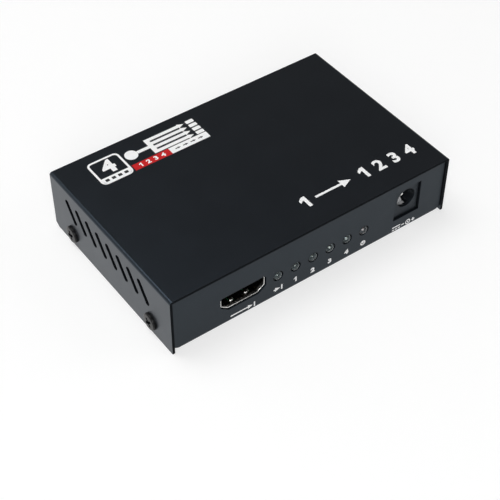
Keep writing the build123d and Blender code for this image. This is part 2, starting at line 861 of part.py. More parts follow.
# Power parts, right of the splitter chip
regulator_x = splitter_x + splitter_side / 2 + small_part_gap
regulator_x += regulator_tab_reach + regulator_width / 2
regulator_ys = [splitter_y - regulator_spacing / 2, splitter_y + regulator_spacing / 2]
regulator_middle = [Plane(origin=(regulator_x, y, board_top)) for y in regulator_ys]
with BuildPart() as voltage_regulators:
    with BuildSketch(*regulator_middle):
        Rectangle(regulator_width, regulator_length)
    extrude(amount=regulator_height)
    with BuildSketch(*regulator_middle):
        with Locations((-regulator_width / 2, 0)):
            Rectangle(regulator_tab_reach, regulator_tab_width, align=(Align.MAX, Align.CENTER))
        with Locations((regulator_width / 2, 0)):
            with GridLocations(regulator_tab_reach, regulator_lead_pitch, 1, 3):
                Rectangle(
                    regulator_tab_reach, regulator_lead_width, align=(Align.MIN, Align.CENTER)
                )
    extrude(amount=tab_sheet)
voltage_regulators.part.label = "voltage_regulators"
export_step(voltage_regulators.part, "parts/voltage_regulators.step")

# The capacitor is in line with the jack's left side, the inductor midway to the regulators
capacitor_x = jack_x + (capacitor_side - jack_width) / 2
regulator_right = regulator_x + regulator_width / 2 + regulator_tab_reach
inductor_x = (regulator_right + capacitor_x - capacitor_side / 2) / 2
with BuildPart() as power_inductor:
    with BuildSketch(Plane.XY.offset(board_top)):
        with Locations((inductor_x, splitter_y)):
            Rectangle(inductor_side, inductor_side)
    extrude(amount=inductor_height)
    chamfer(power_inductor.edges().filter_by(Axis.Z), inductor_bevel)
power_inductor.part.label = "power_inductor"
export_step(power_inductor.part, "parts/power_inductor.step")

# Can capacitor on a square base with two bevelled corners
with BuildPart() as bulk_capacitor:
    with BuildSketch(Plane.XY.offset(board_top)) as capacitor_foot:
        with Locations((capacitor_x, splitter_y)):
            Rectangle(capacitor_side, capacitor_side)
        chamfer(capacitor_foot.vertices().group_by(Axis.X)[0], capacitor_bevel)
    extrude(amount=capacitor_base)
    with BuildSketch(Plane.XY.offset(board_top + capacitor_base)):
        with Locations((capacitor_x, splitter_y)):
            Circle(capacitor_radius)
    extrude(amount=capacitor_height - capacitor_base)
bulk_capacitor.part.label = "bulk_capacitor"
export_step(bulk_capacitor.part, "parts/bulk_capacitor.step")

# Diode and fuse between the jack and the inductor
jack_rear_y = front_y + jack_recess + jack_depth + jack_terminal_sheet
diode_y = jack_rear_y + small_part_gap + diode_width / 2
with BuildPart() as protection_diode:
    with BuildSketch(Plane.XY.offset(board_top)):
        with Locations((jack_x, diode_y)):
            Rectangle(diode_length, diode_width)
    extrude(amount=diode_height)
    chamfer(protection_diode.faces().sort_by(Axis.Z)[-1].edges(), chip_chamfer)
    with BuildSketch(Plane.XY.offset(board_top)):
        with Locations((jack_x, diode_y)):
            Rectangle(diode_length + 2 * diode_tab_reach, diode_tab_width)
    extrude(amount=tab_sheet)
protection_diode.part.label = "protection_diode"
export_step(protection_diode.part, "parts/protection_diode.step")

fuse_x = jack_x - diode_length / 2 - diode_tab_reach - small_part_gap - fuse_length / 2
with BuildPart() as power_fuse:
    with BuildSketch(Plane.XY.offset(board_top)):
        with Locations((fuse_x, diode_y)):
            Rectangle(fuse_length, fuse_width)
    extrude(amount=fuse_height)
power_fuse.part.label = "power_fuse"
export_step(power_fuse.part, "parts/power_fuse.step")

# Chip capacitors in a row behind every port
chip_row_xs = [(place - (chip_row_count - 1) / 2) * chip_pitch for place in range(chip_row_count)]
port_row_points = [(across, port_row_depth) for across in chip_row_xs]
with BuildPart() as chip_capacitors:
    with BuildSketch(Plane.XY.offset(board_top)):
        for port in ports.values():
            with Locations(*board_places(port, port_row_points)):
                Rectangle(chip_width, chip_length)
    extrude(amount=chip_height)
chip_capacitors.part.label = "chip_capacitors"
export_step(chip_capacitors.part, "parts/chip_capacitors.step")

# One chip resistor behind each light, and a row by the splitter chip's front
light_row_depth = light_base + light_lead_run + chip_row_gap + chip_length / 2
splitter_row_y = splitter_y - splitter_side / 2 - chip_row_gap
resistor_places = [(splitter_x + across, splitter_row_y) for across in chip_row_xs]
for light in lights.values():
    resistor_places += board_places(light, [(0, light_row_depth)])
with BuildPart() as chip_resistors:
    with BuildSketch(Plane.XY.offset(board_top)):
        with Locations(*resistor_places):
            Rectangle(chip_width, chip_length)
    extrude(amount=chip_height)
chip_resistors.part.label = "chip_resistors"
export_step(chip_resistors.part, "parts/chip_resistors.step")
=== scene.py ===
from math import cos, pi, radians, sin

import bmesh
import bpy
from bmesh.types import BMFace, BMVert
from mathutils import Matrix, Vector


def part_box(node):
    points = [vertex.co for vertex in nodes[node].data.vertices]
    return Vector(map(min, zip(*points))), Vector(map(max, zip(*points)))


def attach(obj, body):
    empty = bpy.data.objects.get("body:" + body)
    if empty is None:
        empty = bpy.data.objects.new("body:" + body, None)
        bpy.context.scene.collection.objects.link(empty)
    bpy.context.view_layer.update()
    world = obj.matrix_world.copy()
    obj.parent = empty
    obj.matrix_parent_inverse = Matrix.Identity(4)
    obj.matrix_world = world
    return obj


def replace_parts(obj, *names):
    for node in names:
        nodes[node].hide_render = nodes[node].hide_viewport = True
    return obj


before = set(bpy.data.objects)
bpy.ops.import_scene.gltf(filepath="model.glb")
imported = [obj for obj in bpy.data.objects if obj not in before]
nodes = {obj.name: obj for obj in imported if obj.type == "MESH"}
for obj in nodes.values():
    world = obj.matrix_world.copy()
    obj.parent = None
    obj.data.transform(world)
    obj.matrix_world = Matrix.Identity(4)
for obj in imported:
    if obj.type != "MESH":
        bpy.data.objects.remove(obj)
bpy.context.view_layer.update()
scene = bpy.context.scene
mm = 0.001
mergeGap = 0.001  # millimetres within which two points are one
flatAngle = 0.5  # degrees within which two faces are one flat face
sharpAngle = 30  # degrees past which an edge is sharp
print("frame loaded,", len(nodes), "nodes")


# Camera: where the photograph was taken from, aimed at a point over the stand's surface
camera = {
    "azimuth": -36.06,
    "elevation": 45.464,
    "roll": 0.12,
    "distance": 363.34,
    "slideRight": 0.206,
    "slideUp": 16.906,
    "aimHeight": 10.0,
    "focalPixels": 1266.4,
    "framePixels": 500,
    "sensor": 36.0,
    "clipStart": 10.0,
}


def setCamera():
    turn, lift, tilt = (radians(camera[key]) for key in ("azimuth", "elevation", "roll"))
    back = Vector((sin(turn) * cos(lift), -cos(turn) * cos(lift), sin(lift)))
    right = Vector((0, 0, 1)).cross(back).normalized()
    up = back.cross(right)
    tiltedRight = right * cos(tilt) + up * sin(tilt)
    tiltedUp = up * cos(tilt) - right * sin(tilt)
    place = Vector((0, 0, camera["aimHeight"])) + back * camera["distance"]
    place -= tiltedRight * camera["slideRight"] + tiltedUp * camera["slideUp"]
    data = bpy.data.cameras.new("camera")
    data.sensor_width = camera["sensor"]
    data.lens = camera["focalPixels"] / camera["framePixels"] * camera["sensor"]
    data.clip_start = camera["clipStart"] * mm
    holder = bpy.data.objects.new("camera", data)
    axes = Matrix((tiltedRight, tiltedUp, back)).transposed()
    holder.matrix_world = Matrix.Translation(place * mm) @ axes.to_4x4()
    scene.collection.objects.link(holder)
    scene.camera = holder


setCamera()


# Node helpers for the materials: an input is either linked or given a fixed value
def addNode(tree, kind, inputs=None, **settings):
    node = tree.nodes.new(kind)
    for key, value in settings.items():
        setattr(node, key, value)
    for socket, source in (inputs or {}).items():
        if isinstance(source, bpy.types.NodeSocket):
            tree.links.new(source, node.inputs[socket])
        else:
            node.inputs[socket].default_value = source
    return node


def startMaterial(name):
    material = bpy.data.materials.new(name)
    material.use_nodes = True
    tree = material.node_tree
    tree.nodes.clear()
    shader = addNode(tree, "ShaderNodeBsdfPrincipled")
    output = addNode(tree, "ShaderNodeOutputMaterial")
    tree.links.new(shader.outputs["BSDF"], output.inputs["Surface"])
    place = addNode(tree, "ShaderNodeTexCoord").outputs["Object"]
    return material, tree, shader, place


def addNoise(tree, place, size, detail=2.0, stretch=None):
    if stretch:
        place = addNode(
            tree, "ShaderNodeMapping", {"Vector": place, "Scale": stretch}
        ).outputs["Vector"]
    return addNode(
        tree, "ShaderNodeTexNoise", {"Vector": place, "Scale": 1 / (size * mm), "Detail": detail}
    ).outputs["Fac"]


# The middle of a noise's range, where nearly all of its values are, spread over low to high
def spread(tree, value, low, high, fromLow=0.3, fromHigh=0.7):
    return addNode(
        tree,
        "ShaderNodeMapRange",
        {"Value": value, "From Min": fromLow, "From Max": fromHigh, "To Min": low, "To Max": high},
    ).outputs["Result"]


def calculate(tree, operation, *values):
    inputs = dict(enumerate(values))
    return addNode(tree, "ShaderNodeMath", inputs, operation=operation).outputs["Value"]


def blendColours(tree, share, low, high):
    inputs = {0: share, 6: low, 7: high}
    return addNode(tree, "ShaderNodeMix", inputs, data_type="RGBA").outputs[2]


def addBump(tree, shader, height, strength, relief):
    inputs = {"Height": height, "Strength": strength, "Distance": relief * mm}
    bump = addNode(tree, "ShaderNodeBump", inputs)
    tree.links.new(bump.outputs["Normal"], shader.inputs["Normal"])


def colour(red, green, blue):
    return (red, green, blue, 1.0)


# How the finishes use noise: the detail of the colour's patches, the part of the dust noise that
# shows as specks, how much finer the roughness drifts than the colour, and the range of its noise
drift = {"detail": 3.0, "specks": (0.74, 0.80), "finer": 4, "roughness": (0.7, 1.3)}


# A finish made from: two colours that drift over patches, a roughness range, and a grain or
# brushed lines in the surface. Sizes are in millimetres.
def makeFinish(name, look):
    material, tree, shader, place = startMaterial(name)
    patch = addNoise(tree, place, look["patch"], drift["detail"])
    shade = blendColours(
        tree, spread(tree, patch, 0.0, 1.0), colour(*look["dark"]), colour(*look["light"])
    )
    if "speck" in look:  # sparse dust specks
        fleck = addNoise(tree, place, look["speck"], 1.0)
        shade = blendColours(
            tree, spread(tree, fleck, 0.0, 1.0, *drift["specks"]), shade,
            colour(*look["speckColour"]),
        )
    tree.links.new(shade, shader.inputs["Base Color"])
    grain = addNoise(tree, place, look["grain"], stretch=look.get("stretch"))
    wide = addNoise(tree, place, look["patch"] / drift["finer"])
    roughness = spread(
        tree, calculate(tree, "ADD", grain, wide), *look["roughness"], *drift["roughness"]
    )
    tree.links.new(roughness, shader.inputs["Roughness"])
    addBump(tree, shader, grain, look["strength"], look["relief"])
    shader.inputs["Metallic"].default_value = look.get("metallic", 0.0)
    shader.inputs["Specular IOR Level"].default_value = look.get("specular", 0.5)
    shader.inputs["Specular Tint"].default_value = colour(*look.get("tint", (1, 1, 1)))
    return material


finishes = {
    # fine black powder coat of the cover and, a little flatter, of the tray
    "coverPaint": {
        "dark": (0.0066, 0.0064, 0.0070), "light": (0.0076, 0.0074, 0.0080), "patch": 30.0,
        "speck": 0.35, "speckColour": (0.05, 0.052, 0.055),
        "roughness": (0.30, 0.335), "grain": 0.28, "relief": 0.012, "strength": 0.35,
        "specular": 0.58, "tint": (0.55, 0.76, 1.0),
    },
    # the same coat where it is thin and dull on cut edges; on slot walls and in the screws' cross
    # recesses its darkness is painted shade
    "edgeCoatAndShade": {
        "dark": (0.0028, 0.0032, 0.0038), "light": (0.0042, 0.0047, 0.0054), "patch": 6.0,
        "roughness": (0.62, 0.80), "grain": 0.22, "relief": 0.010, "strength": 0.4,
        "specular": 0.06, "tint": (0.50, 0.76, 1.0),
    },
    "trayPaint": {
        "dark": (0.0058, 0.0068, 0.0084), "light": (0.0070, 0.0081, 0.0100), "patch": 26.0,
        "speck": 0.35, "speckColour": (0.04, 0.042, 0.045),
        "roughness": (0.42, 0.47), "grain": 0.30, "relief": 0.014, "strength": 0.35,
        "specular": 0.33, "tint": (0.52, 0.77, 1.0),
    },
    "blackScrew": {
        "dark": (0.0034, 0.0037, 0.0042), "light": (0.0060, 0.0064, 0.0070), "patch": 1.2,
        "roughness": (0.24, 0.36), "grain": 0.12, "relief": 0.006, "strength": 0.4,
        "specular": 0.26,
    },
    "nickelShell": {
        "dark": (0.52, 0.51, 0.48), "light": (0.70, 0.69, 0.66), "patch": 4.0,
        "roughness": (0.18, 0.34), "grain": 0.09, "relief": 0.004, "strength": 0.4,
        "stretch": (1.0, 0.12, 1.0), "metallic": 1.0,
    },
    # gold of the port contacts, darkened as painted shade inside the port
    "shadedGold": {
        "dark": (0.40, 0.27, 0.10), "light": (0.54, 0.39, 0.16), "patch": 2.0,
        "roughness": (0.42, 0.55), "grain": 0.08, "relief": 0.003, "strength": 0.3,
        "stretch": (1.0, 0.15, 1.0), "metallic": 1.0,
    },
    "brightNickel": {
        "dark": (0.74, 0.73, 0.71), "light": (0.88, 0.87, 0.85), "patch": 0.6,
        "roughness": (0.10, 0.20), "grain": 0.09, "relief": 0.002, "strength": 0.3,
        "metallic": 1.0,
    },
    "insulatorPlastic": {
        "dark": (0.008, 0.008, 0.009), "light": (0.013, 0.013, 0.014), "patch": 3.0,
        "roughness": (0.55, 0.70), "grain": 0.16, "relief": 0.006, "strength": 0.4,
        "specular": 0.3,
    },
    "jackPlastic": {
        "dark": (0.0080, 0.0088, 0.0100), "light": (0.0120, 0.0132, 0.0150), "patch": 4.0,
        "roughness": (0.34, 0.48), "grain": 0.22, "relief": 0.008, "strength": 0.4,
        "specular": 0.24, "tint": (0.47, 0.74, 1.0),
    },
    # near-white, partly diffuse metal of the jack's contacts, so the leaf shows as a painted
    # highlight
    "jackMetalGlint": {
        "dark": (0.90, 0.91, 0.92), "light": (0.97, 0.98, 0.99), "patch": 1.5,
        "roughness": (0.40, 0.50), "grain": 0.10, "relief": 0.002, "strength": 0.3,
        "metallic": 0.4,
    },
    "polishedPin": {
        "dark": (0.84, 0.84, 0.82), "light": (0.95, 0.95, 0.93), "patch": 1.0,
        "roughness": (0.20, 0.27), "grain": 0.10, "relief": 0.002, "strength": 0.3,
        "metallic": 1.0,
    },
    # near-white cup inside the lamps: a painted highlight
    "glintCup": {
        "dark": (0.86, 0.87, 0.87), "light": (0.96, 0.96, 0.96), "patch": 0.8,
        "roughness": (0.42, 0.55), "grain": 0.10, "relief": 0.002, "strength": 0.3,
        "metallic": 0.2,
    },
    "tinnedLead": {
        "dark": (0.55, 0.55, 0.54), "light": (0.76, 0.76, 0.75), "patch": 1.0,
        "roughness": (0.22, 0.38), "grain": 0.12, "relief": 0.004, "strength": 0.4,
        "metallic": 1.0,
    },
    "zincSteel": {
        "dark": (0.48, 0.50, 0.52), "light": (0.68, 0.69, 0.68), "patch": 2.0,
        "roughness": (0.28, 0.44), "grain": 0.14, "relief": 0.005, "strength": 0.4,
        "metallic": 1.0,
    },
    "brassStandoff": {
        "dark": (0.60, 0.42, 0.16), "light": (0.78, 0.60, 0.28), "patch": 2.5,
        "roughness": (0.24, 0.40), "grain": 0.10, "relief": 0.004, "strength": 0.4,
        "stretch": (1.0, 1.0, 8.0), "metallic": 1.0,
    },
    "chipEpoxy": {
        "dark": (0.010, 0.010, 0.011), "light": (0.020, 0.020, 0.021), "patch": 2.0,
        "roughness": (0.50, 0.68), "grain": 0.10, "relief": 0.008, "strength": 0.5,
    },
    "thermalSilicone": {
        "dark": (0.16, 0.19, 0.24), "light": (0.24, 0.28, 0.34), "patch": 2.5,
        "roughness": (0.70, 0.85), "grain": 0.20, "relief": 0.010, "strength": 0.5,
    },
    "anodizedSink": {
        "dark": (0.50, 0.51, 0.53), "light": (0.66, 0.67, 0.69), "patch": 5.0,
        "roughness": (0.34, 0.50), "grain": 0.12, "relief": 0.006, "strength": 0.5,
        "stretch": (1.0, 0.08, 1.0), "metallic": 1.0,
    },
    "crystalCan": {
        "dark": (0.60, 0.58, 0.52), "light": (0.78, 0.76, 0.70), "patch": 1.5,
        "roughness": (0.22, 0.34), "grain": 0.10, "relief": 0.003, "strength": 0.4,
        "metallic": 1.0,
    },
    "ferrite": {
        "dark": (0.035, 0.035, 0.037), "light": (0.070, 0.070, 0.073), "patch": 1.2,
        "roughness": (0.55, 0.75), "grain": 0.18, "relief": 0.014, "strength": 0.6,
    },
    "capacitorCan": {
        "dark": (0.62, 0.63, 0.65), "light": (0.80, 0.81, 0.82), "patch": 2.2,
        "roughness": (0.20, 0.32), "grain": 0.10, "relief": 0.003, "strength": 0.4,
        "stretch": (1.0, 1.0, 6.0), "metallic": 1.0,
    },
    "fuseBody": {
        "dark": (0.025, 0.060, 0.035), "light": (0.045, 0.095, 0.055), "patch": 1.6,
        "roughness": (0.40, 0.55), "grain": 0.14, "relief": 0.006, "strength": 0.4,
    },
    "ceramicChip": {
        "dark": (0.30, 0.20, 0.11), "light": (0.45, 0.33, 0.20), "patch": 0.8,
        "roughness": (0.40, 0.55), "grain": 0.10, "relief": 0.005, "strength": 0.4,
    },
    "resistorFilm": {
        "dark": (0.012, 0.012, 0.013), "light": (0.030, 0.030, 0.032), "patch": 0.6,
        "roughness": (0.35, 0.50), "grain": 0.10, "relief": 0.004, "strength": 0.4,
    },
    "whiteInk": {
        "dark": (0.94, 0.95, 0.95), "light": (1.0, 1.0, 1.0), "patch": 1.4,
        "roughness": (0.45, 0.60), "grain": 0.12, "relief": 0.004, "strength": 0.4,
    },
    "redInk": {
        "dark": (0.52, 0.010, 0.013), "light": (0.62, 0.016, 0.018), "patch": 1.4,
        "roughness": (0.42, 0.56), "grain": 0.12, "relief": 0.004, "strength": 0.4,
        "specular": 0.2,
    },
    # dark print ink, also the painted shade of the lamp cores
    "darkInkAndLampShade": {
        "dark": (0.012, 0.013, 0.015), "light": (0.022, 0.023, 0.025), "patch": 1.4,
        "roughness": (0.42, 0.56), "grain": 0.12, "relief": 0.004, "strength": 0.4,
    },
}
made = {name: makeFinish(name, look) for name, look in finishes.items()}


# Painted shade inside the shells: their colour is darkened deeper in and full only round the
# mouth:
# millimetres from the unit's middle where the full colour starts to come back and where it is
# whole, and the share of the colour kept inside
insideShade = {"start": 28.60, "end": 28.85, "shadedShare": 0.17}


def paintShadeInside(material):
    tree = material.node_tree
    shader = next(node for node in tree.nodes if node.type == "BSDF_PRINCIPLED")
    shade = shader.inputs["Base Color"].links[0].from_socket
    place = addNode(tree, "ShaderNodeTexCoord").outputs["Object"]
    depth = addNode(tree, "ShaderNodeSeparateXYZ", {"Vector": place}).outputs["Y"]
    outward = calculate(tree, "ABSOLUTE", depth)
    share = spread(
        tree, outward, insideShade["shadedShare"], 1.0, insideShade["start"] * mm, insideShade["end"] * mm
    )
    # painted shade: the shell's colour is darkened away from the mouth
    shadedColour = addNode(tree, "ShaderNodeVectorMath", {0: shade, 1: share}, operation="MULTIPLY")
    tree.links.new(shadedColour.outputs["Vector"], shader.inputs["Base Color"])


paintShadeInside(made["nickelShell"])


# Solder mask over copper: tracks show as lighter lines under the green. The run, row and edge of
# a track are shares of the pitch.
boardLook = {
    "mask": (0.004, 0.040, 0.018), "track": (0.012, 0.085, 0.035), "pitch": 1.7, "run": 3.2,
    "row": 0.7, "line": 0.12, "edge": 0.2, "stagger": 0.37, "grain": 0.35, "relief": 0.01,
    "strength": 0.5, "roughness": 0.32, "coat": 0.4,
}


def makeBoardFinish():
    material, tree, shader, place = startMaterial("solderMask")
    tracks = addNode(
        tree,
        "ShaderNodeTexBrick",
        {
            "Vector": place,
            "Scale": 1 / (boardLook["pitch"] * mm),
            "Brick Width": boardLook["run"],
            "Row Height": boardLook["row"],
            "Mortar Size": boardLook["line"],
            "Mortar Smooth": boardLook["edge"],
            "Mortar": colour(1, 1, 1),
            "Color1": colour(0, 0, 0),
            "Color2": colour(0, 0, 0),
        },
        offset=boardLook["stagger"],
    ).outputs["Color"]
    shade = blendColours(tree, tracks, colour(*boardLook["mask"]), colour(*boardLook["track"]))
    tree.links.new(shade, shader.inputs["Base Color"])
    height = calculate(tree, "ADD", addNoise(tree, place, boardLook["grain"]), tracks)
    addBump(tree, shader, height, boardLook["strength"], boardLook["relief"])
    shader.inputs["Roughness"].default_value = boardLook["roughness"]
    shader.inputs["Coat Weight"].default_value = boardLook["coat"]
    return material


made["solderMask"] = makeBoardFinish()


# Clear lamp resin, with a slight cloud in it that is paler than the rest
resin = {
    "cloud": 0.9, "detail": 3.0, "paler": 1.5, "roughness": (0.02, 0.08), "ior": 1.5,
    "specular": 0.14, "specularTint": (0.55, 0.75, 0.85),
    "tints": {"greenResin": (0.58, 0.65, 0.62), "redResin": (0.65, 0.60, 0.60)},
}


def makeResin(name, tint):
    material, tree, shader, place = startMaterial(name)
    cloud = addNoise(tree, place, resin["cloud"], resin["detail"])
    pale = [channel * resin["paler"] for channel in tint]
    shade = blendColours(tree, spread(tree, cloud, 0.0, 1.0), colour(*tint), colour(*pale))
    tree.links.new(shade, shader.inputs["Base Color"])
    tree.links.new(spread(tree, cloud, *resin["roughness"]), shader.inputs["Roughness"])
    shader.inputs["Transmission Weight"].default_value = 1.0
    shader.inputs["IOR"].default_value = resin["ior"]
    shader.inputs["Specular IOR Level"].default_value = resin["specular"]
    shader.inputs["Specular Tint"].default_value = colour(*resin["specularTint"])
    return material


for resinName, tint in resin["tints"].items():
    made[resinName] = makeResin(resinName, tint)
print("materials made,", len(made))


# Carried-over nodes: the finish of each, and how far its sharp edges are rounded, in millimetres
portNames = ["input_port"] + [f"output_port_{number}" for number in range(1, 5)]
dressed = {
    "base_tray": ("trayPaint", 0.07),
    "main_board": ("solderMask", 0),
    "board_screws": ("zincSteel", 0.15),
    "board_standoffs": ("brassStandoff", 0.1),
    "light_leads": ("tinnedLead", 0),
    "dc_jack_housing": ("jackPlastic", 0.12),
    "dc_jack_spring_leaf": ("jackMetalGlint", 0.05),
    "dc_jack_root_terminal": ("jackMetalGlint", 0.04),
    "dc_jack_switch_contact": ("jackMetalGlint", 0.04),
    "splitter_chip": ("chipEpoxy", 0.08),
    "thermal_pad": ("thermalSilicone", 0.08),
    "heat_sink": ("anodizedSink", 0.08),
    "controller_chip": ("chipEpoxy", 0.06),
    "memory_chip": ("chipEpoxy", 0.06),
    "crystal": ("crystalCan", 0.08),
    "voltage_regulators": ("chipEpoxy", 0.05),
    "power_inductor": ("ferrite", 0.15),
    "bulk_capacitor": ("capacitorCan", 0.2),
    "protection_diode": ("chipEpoxy", 0.04),
    "power_fuse": ("fuseBody", 0.08),
    "chip_capacitors": ("ceramicChip", 0.05),
    "chip_resistors": ("resistorFilm", 0.05),
}
for portName in portNames:
    dressed[f"{portName}_shell"] = ("nickelShell", 0.05)
    dressed[f"{portName}_insulator"] = ("insulatorPlastic", 0.05)
    dressed[f"{portName}_contacts"] = ("shadedGold", 0.02)


def setMaterial(piece, material):
    for slot in piece.material_slots:
        slot.link = "OBJECT"
        slot.material = material
    if not piece.material_slots:
        piece.data.materials.append(material)


# The CAD mesh is loose triangles: they are joined and flat faces made whole
def joinLoose(piece):
    weld = piece.modifiers.new("join", "WELD")
    weld.merge_threshold = mergeGap * mm
    flat = piece.modifiers.new("flatten", "DECIMATE")
    flat.decimate_type = "DISSOLVE"
    flat.angle_limit = radians(flatAngle)


def roundEdges(piece, width):
    bevel = piece.modifiers.new("round", "BEVEL")
    bevel.width = width * mm
    bevel.segments = 2
    bevel.limit_method = "ANGLE"
    bevel.angle_limit = radians(sharpAngle)
    normals = piece.modifiers.new("normals", "WEIGHTED_NORMAL")
    normals.weight = 50


for nodeName, (finishName, width) in dressed.items():
    setMaterial(nodes[nodeName], made[finishName])
    if width:
        joinLoose(nodes[nodeName])
        roundEdges(nodes[nodeName], width)
print("nodes dressed,", len(dressed))


# Helpers for new pieces
def spinProfile(points, steps=48):  # (radius, height) pairs turned round Z
    bm = bmesh.new()
    verts = [bm.verts.new((radius * mm, 0, height * mm)) for radius, height in points]
    edges = [bm.edges.new(pair) for pair in zip(verts, verts[1:])]
    bmesh.ops.spin(
        bm, geom=verts + edges, cent=(0, 0, 0), axis=(0, 0, 1), angle=2 * pi, steps=steps,
        use_merge=True,
    )
    bmesh.ops.remove_doubles(bm, verts=bm.verts, dist=mergeGap / 2 * mm)
    bmesh.ops.recalc_face_normals(bm, faces=bm.faces)
    return bm


# Points of an arc about (centre radius, centre height), angles in degrees from +radius
def arc(radius, centre, start, end, steps):
    turns = [radians(start + (end - start) * step / steps) for step in range(steps + 1)]
    return [(centre[0] + radius * cos(turn), centre[1] + radius * sin(turn)) for turn in turns]


def quarterDome(radius, height, steps):  # from the pole at height down to the rim at zero
    points = [(across * radius, up * height) for across, up in arc(1, (0, 0), 90, 0, steps)]
    points[0] = (0, height)
    return points


def turnShape(bm, axis, angle, verts=None):
    bmesh.ops.rotate(
        bm, cent=(0, 0, 0), matrix=Matrix.Rotation(angle, 3, axis), verts=verts or bm.verts
    )


def copyNode(nodeName):  # a merged copy of a CAD mesh
    bm = bmesh.new()
    bm.from_mesh(nodes[nodeName].data)
    bmesh.ops.remove_doubles(bm, verts=bm.verts, dist=mergeGap * mm)
    return bm


def makeFlatFacesWhole(bm):
    bmesh.ops.dissolve_limit(
        bm, angle_limit=radians(flatAngle), verts=bm.verts, edges=bm.edges
    )


def smoothFaces(bm, limit):  # edges past the limit, in degrees, stay sharp
    for face in bm.faces:
        face.smooth = True
    for edge in bm.edges:
        if len(edge.link_faces) == 2:
            edge.smooth = edge.calc_face_angle(0) < radians(limit)


def meshPiece(name, bm):
    mesh = bpy.data.meshes.new(name)
    bm.to_mesh(mesh)
    bm.free()
    piece = bpy.data.objects.new(name, mesh)
    scene.collection.objects.link(piece)
    return piece


# Only the jack's leaf moves, and that is a CAD node, so every new piece rides on the unit
def addPiece(name, bm, materials, limit=sharpAngle):
    smoothFaces(bm, limit)
    piece = meshPiece(name, bm)
    for material in materials:
        piece.data.materials.append(made[material])
    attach(piece, "unit")
    return piece


def joinInto(target, source, materialIndex=0):
    mesh = bpy.data.meshes.new("part")
    source.to_mesh(mesh)
    source.free()
    before = set(target.faces)
    target.from_mesh(mesh)
    for face in target.faces:
        if face not in before:
            face.material_index = materialIndex
    bpy.data.meshes.remove(mesh)


# Cover: a merged copy of the sheet, with a darker, duller coat on its cut edges, and the same dark
# coat on its slot walls as painted shade. All that is within "topDepth" of the top is lowered by
# "inkRoom", so the ink on it stays in the CAD box.
cover = {
    "sheet": 0.8, "bend": 1.0, "slack": 0.05, "round": 0.10, "inkRoom": 0.055, "topDepth": 1.2,
    "squareOn": 0.9, "sideways": 0.5,
}
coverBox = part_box("top_cover")


# Cut edges take the thinner, darker coat; slot walls take the same dark coat as painted shade
def isEdgeOrShadedWall(face):  # a cut edge or the wall of a slot or hole
    high = coverBox[1]
    slack, sheet = cover["slack"] * mm, cover["sheet"] * mm
    middle = face.calc_center_median()
    inward = high.x - abs(middle.x)
    isEnd = abs(face.normal.y) > cover["squareOn"] and high.y - abs(middle.y) < slack
    isWall = abs(face.normal.x) < cover["sideways"] and slack < inward < sheet - slack
    isBend = high.z - middle.z < cover["bend"] * mm
    return isEnd or (isWall and not isBend)


def addCover():
    bm = copyNode("top_cover")
    makeFlatFacesWhole(bm)
    upper = [
        vert for vert in bm.verts if coverBox[1].z - vert.co.z < cover["topDepth"] * mm
    ]
    bmesh.ops.translate(bm, vec=(0, 0, -cover["inkRoom"] * mm), verts=upper)
    for face in bm.faces:
        face.material_index = int(isEdgeOrShadedWall(face))
    piece = addPiece("painted_cover", bm, ["coverPaint", "edgeCoatAndShade"])
    roundEdges(piece, cover["round"])
    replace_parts(piece, "top_cover")


addCover()
print("cover made")


# Pan-head screws with a cross recess, two on each side of the cover, each turned its own way.
# The cutter reaches "cutterRoom" over the head, and narrows to "crossTaper" of its width. Faces
# within "recessEdge" count as the cross where they are steep or deep enough.
screw = {
    "headRadius": 2.65, "headHeight": 0.95, "crown": 0.08, "shoulder": 0.42,
    "shankRadius": 1.4, "length": 4.0, "threadStart": 0.3, "threadPitch": 0.5,
    "threadDepth": 0.2, "tipLength": 0.6, "tipTaper": 0.3,
    "crossWidth": 1.15, "crossReach": 2.05, "crossDepth": 0.85, "crossTaper": 0.5,
    "cutterRoom": 1.0, "recessEdge": 2.15, "recessFloor": 0.7, "recessSlope": 0.7,
    "smoothAngle": 28,
    "turns": {"front_left": 38, "rear_left": 25, "front_right": 12, "rear_right": 55},
}


def crossCutter():
    bm = bmesh.new()
    bmesh.ops.create_cube(bm, size=1)
    width, height = screw["crossWidth"], screw["crossDepth"] + screw["cutterRoom"]
    bmesh.ops.scale(bm, vec=(width, width, height), verts=bm.verts)
    sides = [face for face in bm.faces if abs(face.normal.z) < 0.5]
    reach = screw["crossReach"] - width / 2
    for side in sides:
        out = bmesh.ops.extrude_discrete_faces(bm, faces=[side])["faces"]
        bmesh.ops.translate(bm, vec=out[0].normal * reach, verts=out[0].verts)
    taper = screw["crossTaper"]
    lower = [vert for vert in bm.verts if vert.co.z < 0]
    bmesh.ops.scale(bm, vec=(taper, taper, 1), verts=lower)
    bmesh.ops.remove_doubles(bm, verts=bm.verts, dist=mergeGap)
    middle = screw["headHeight"] - screw["crossDepth"] + height / 2
    bmesh.ops.translate(bm, vec=(0, 0, middle), verts=bm.verts)
    bmesh.ops.scale(bm, vec=(mm, mm, mm), verts=bm.verts)
    bmesh.ops.recalc_face_normals(bm, faces=bm.faces)
    return bm


def screwProfile():
    head, height, shoulder = screw["headRadius"], screw["headHeight"], screw["shoulder"]
    shank, end = screw["shankRadius"], -screw["length"]
    flat = height - screw["crown"]
    points = [(0, height), ((head - shoulder) / 2, height - screw["crown"] / 4)]
    points += arc(shoulder, (head - shoulder, flat - shoulder), 90, 0, 8)
    points += [(head, 0), (shank, 0)]
    root = shank - screw["threadDepth"]
    level = -screw["threadStart"]
    while level > end + screw["tipLength"]:
        points += [(root, level), (shank, level - screw["threadPitch"] / 2)]
        level -= screw["threadPitch"]
    return points + [(root, level), (root - screw["tipTaper"], end), (0, end)]


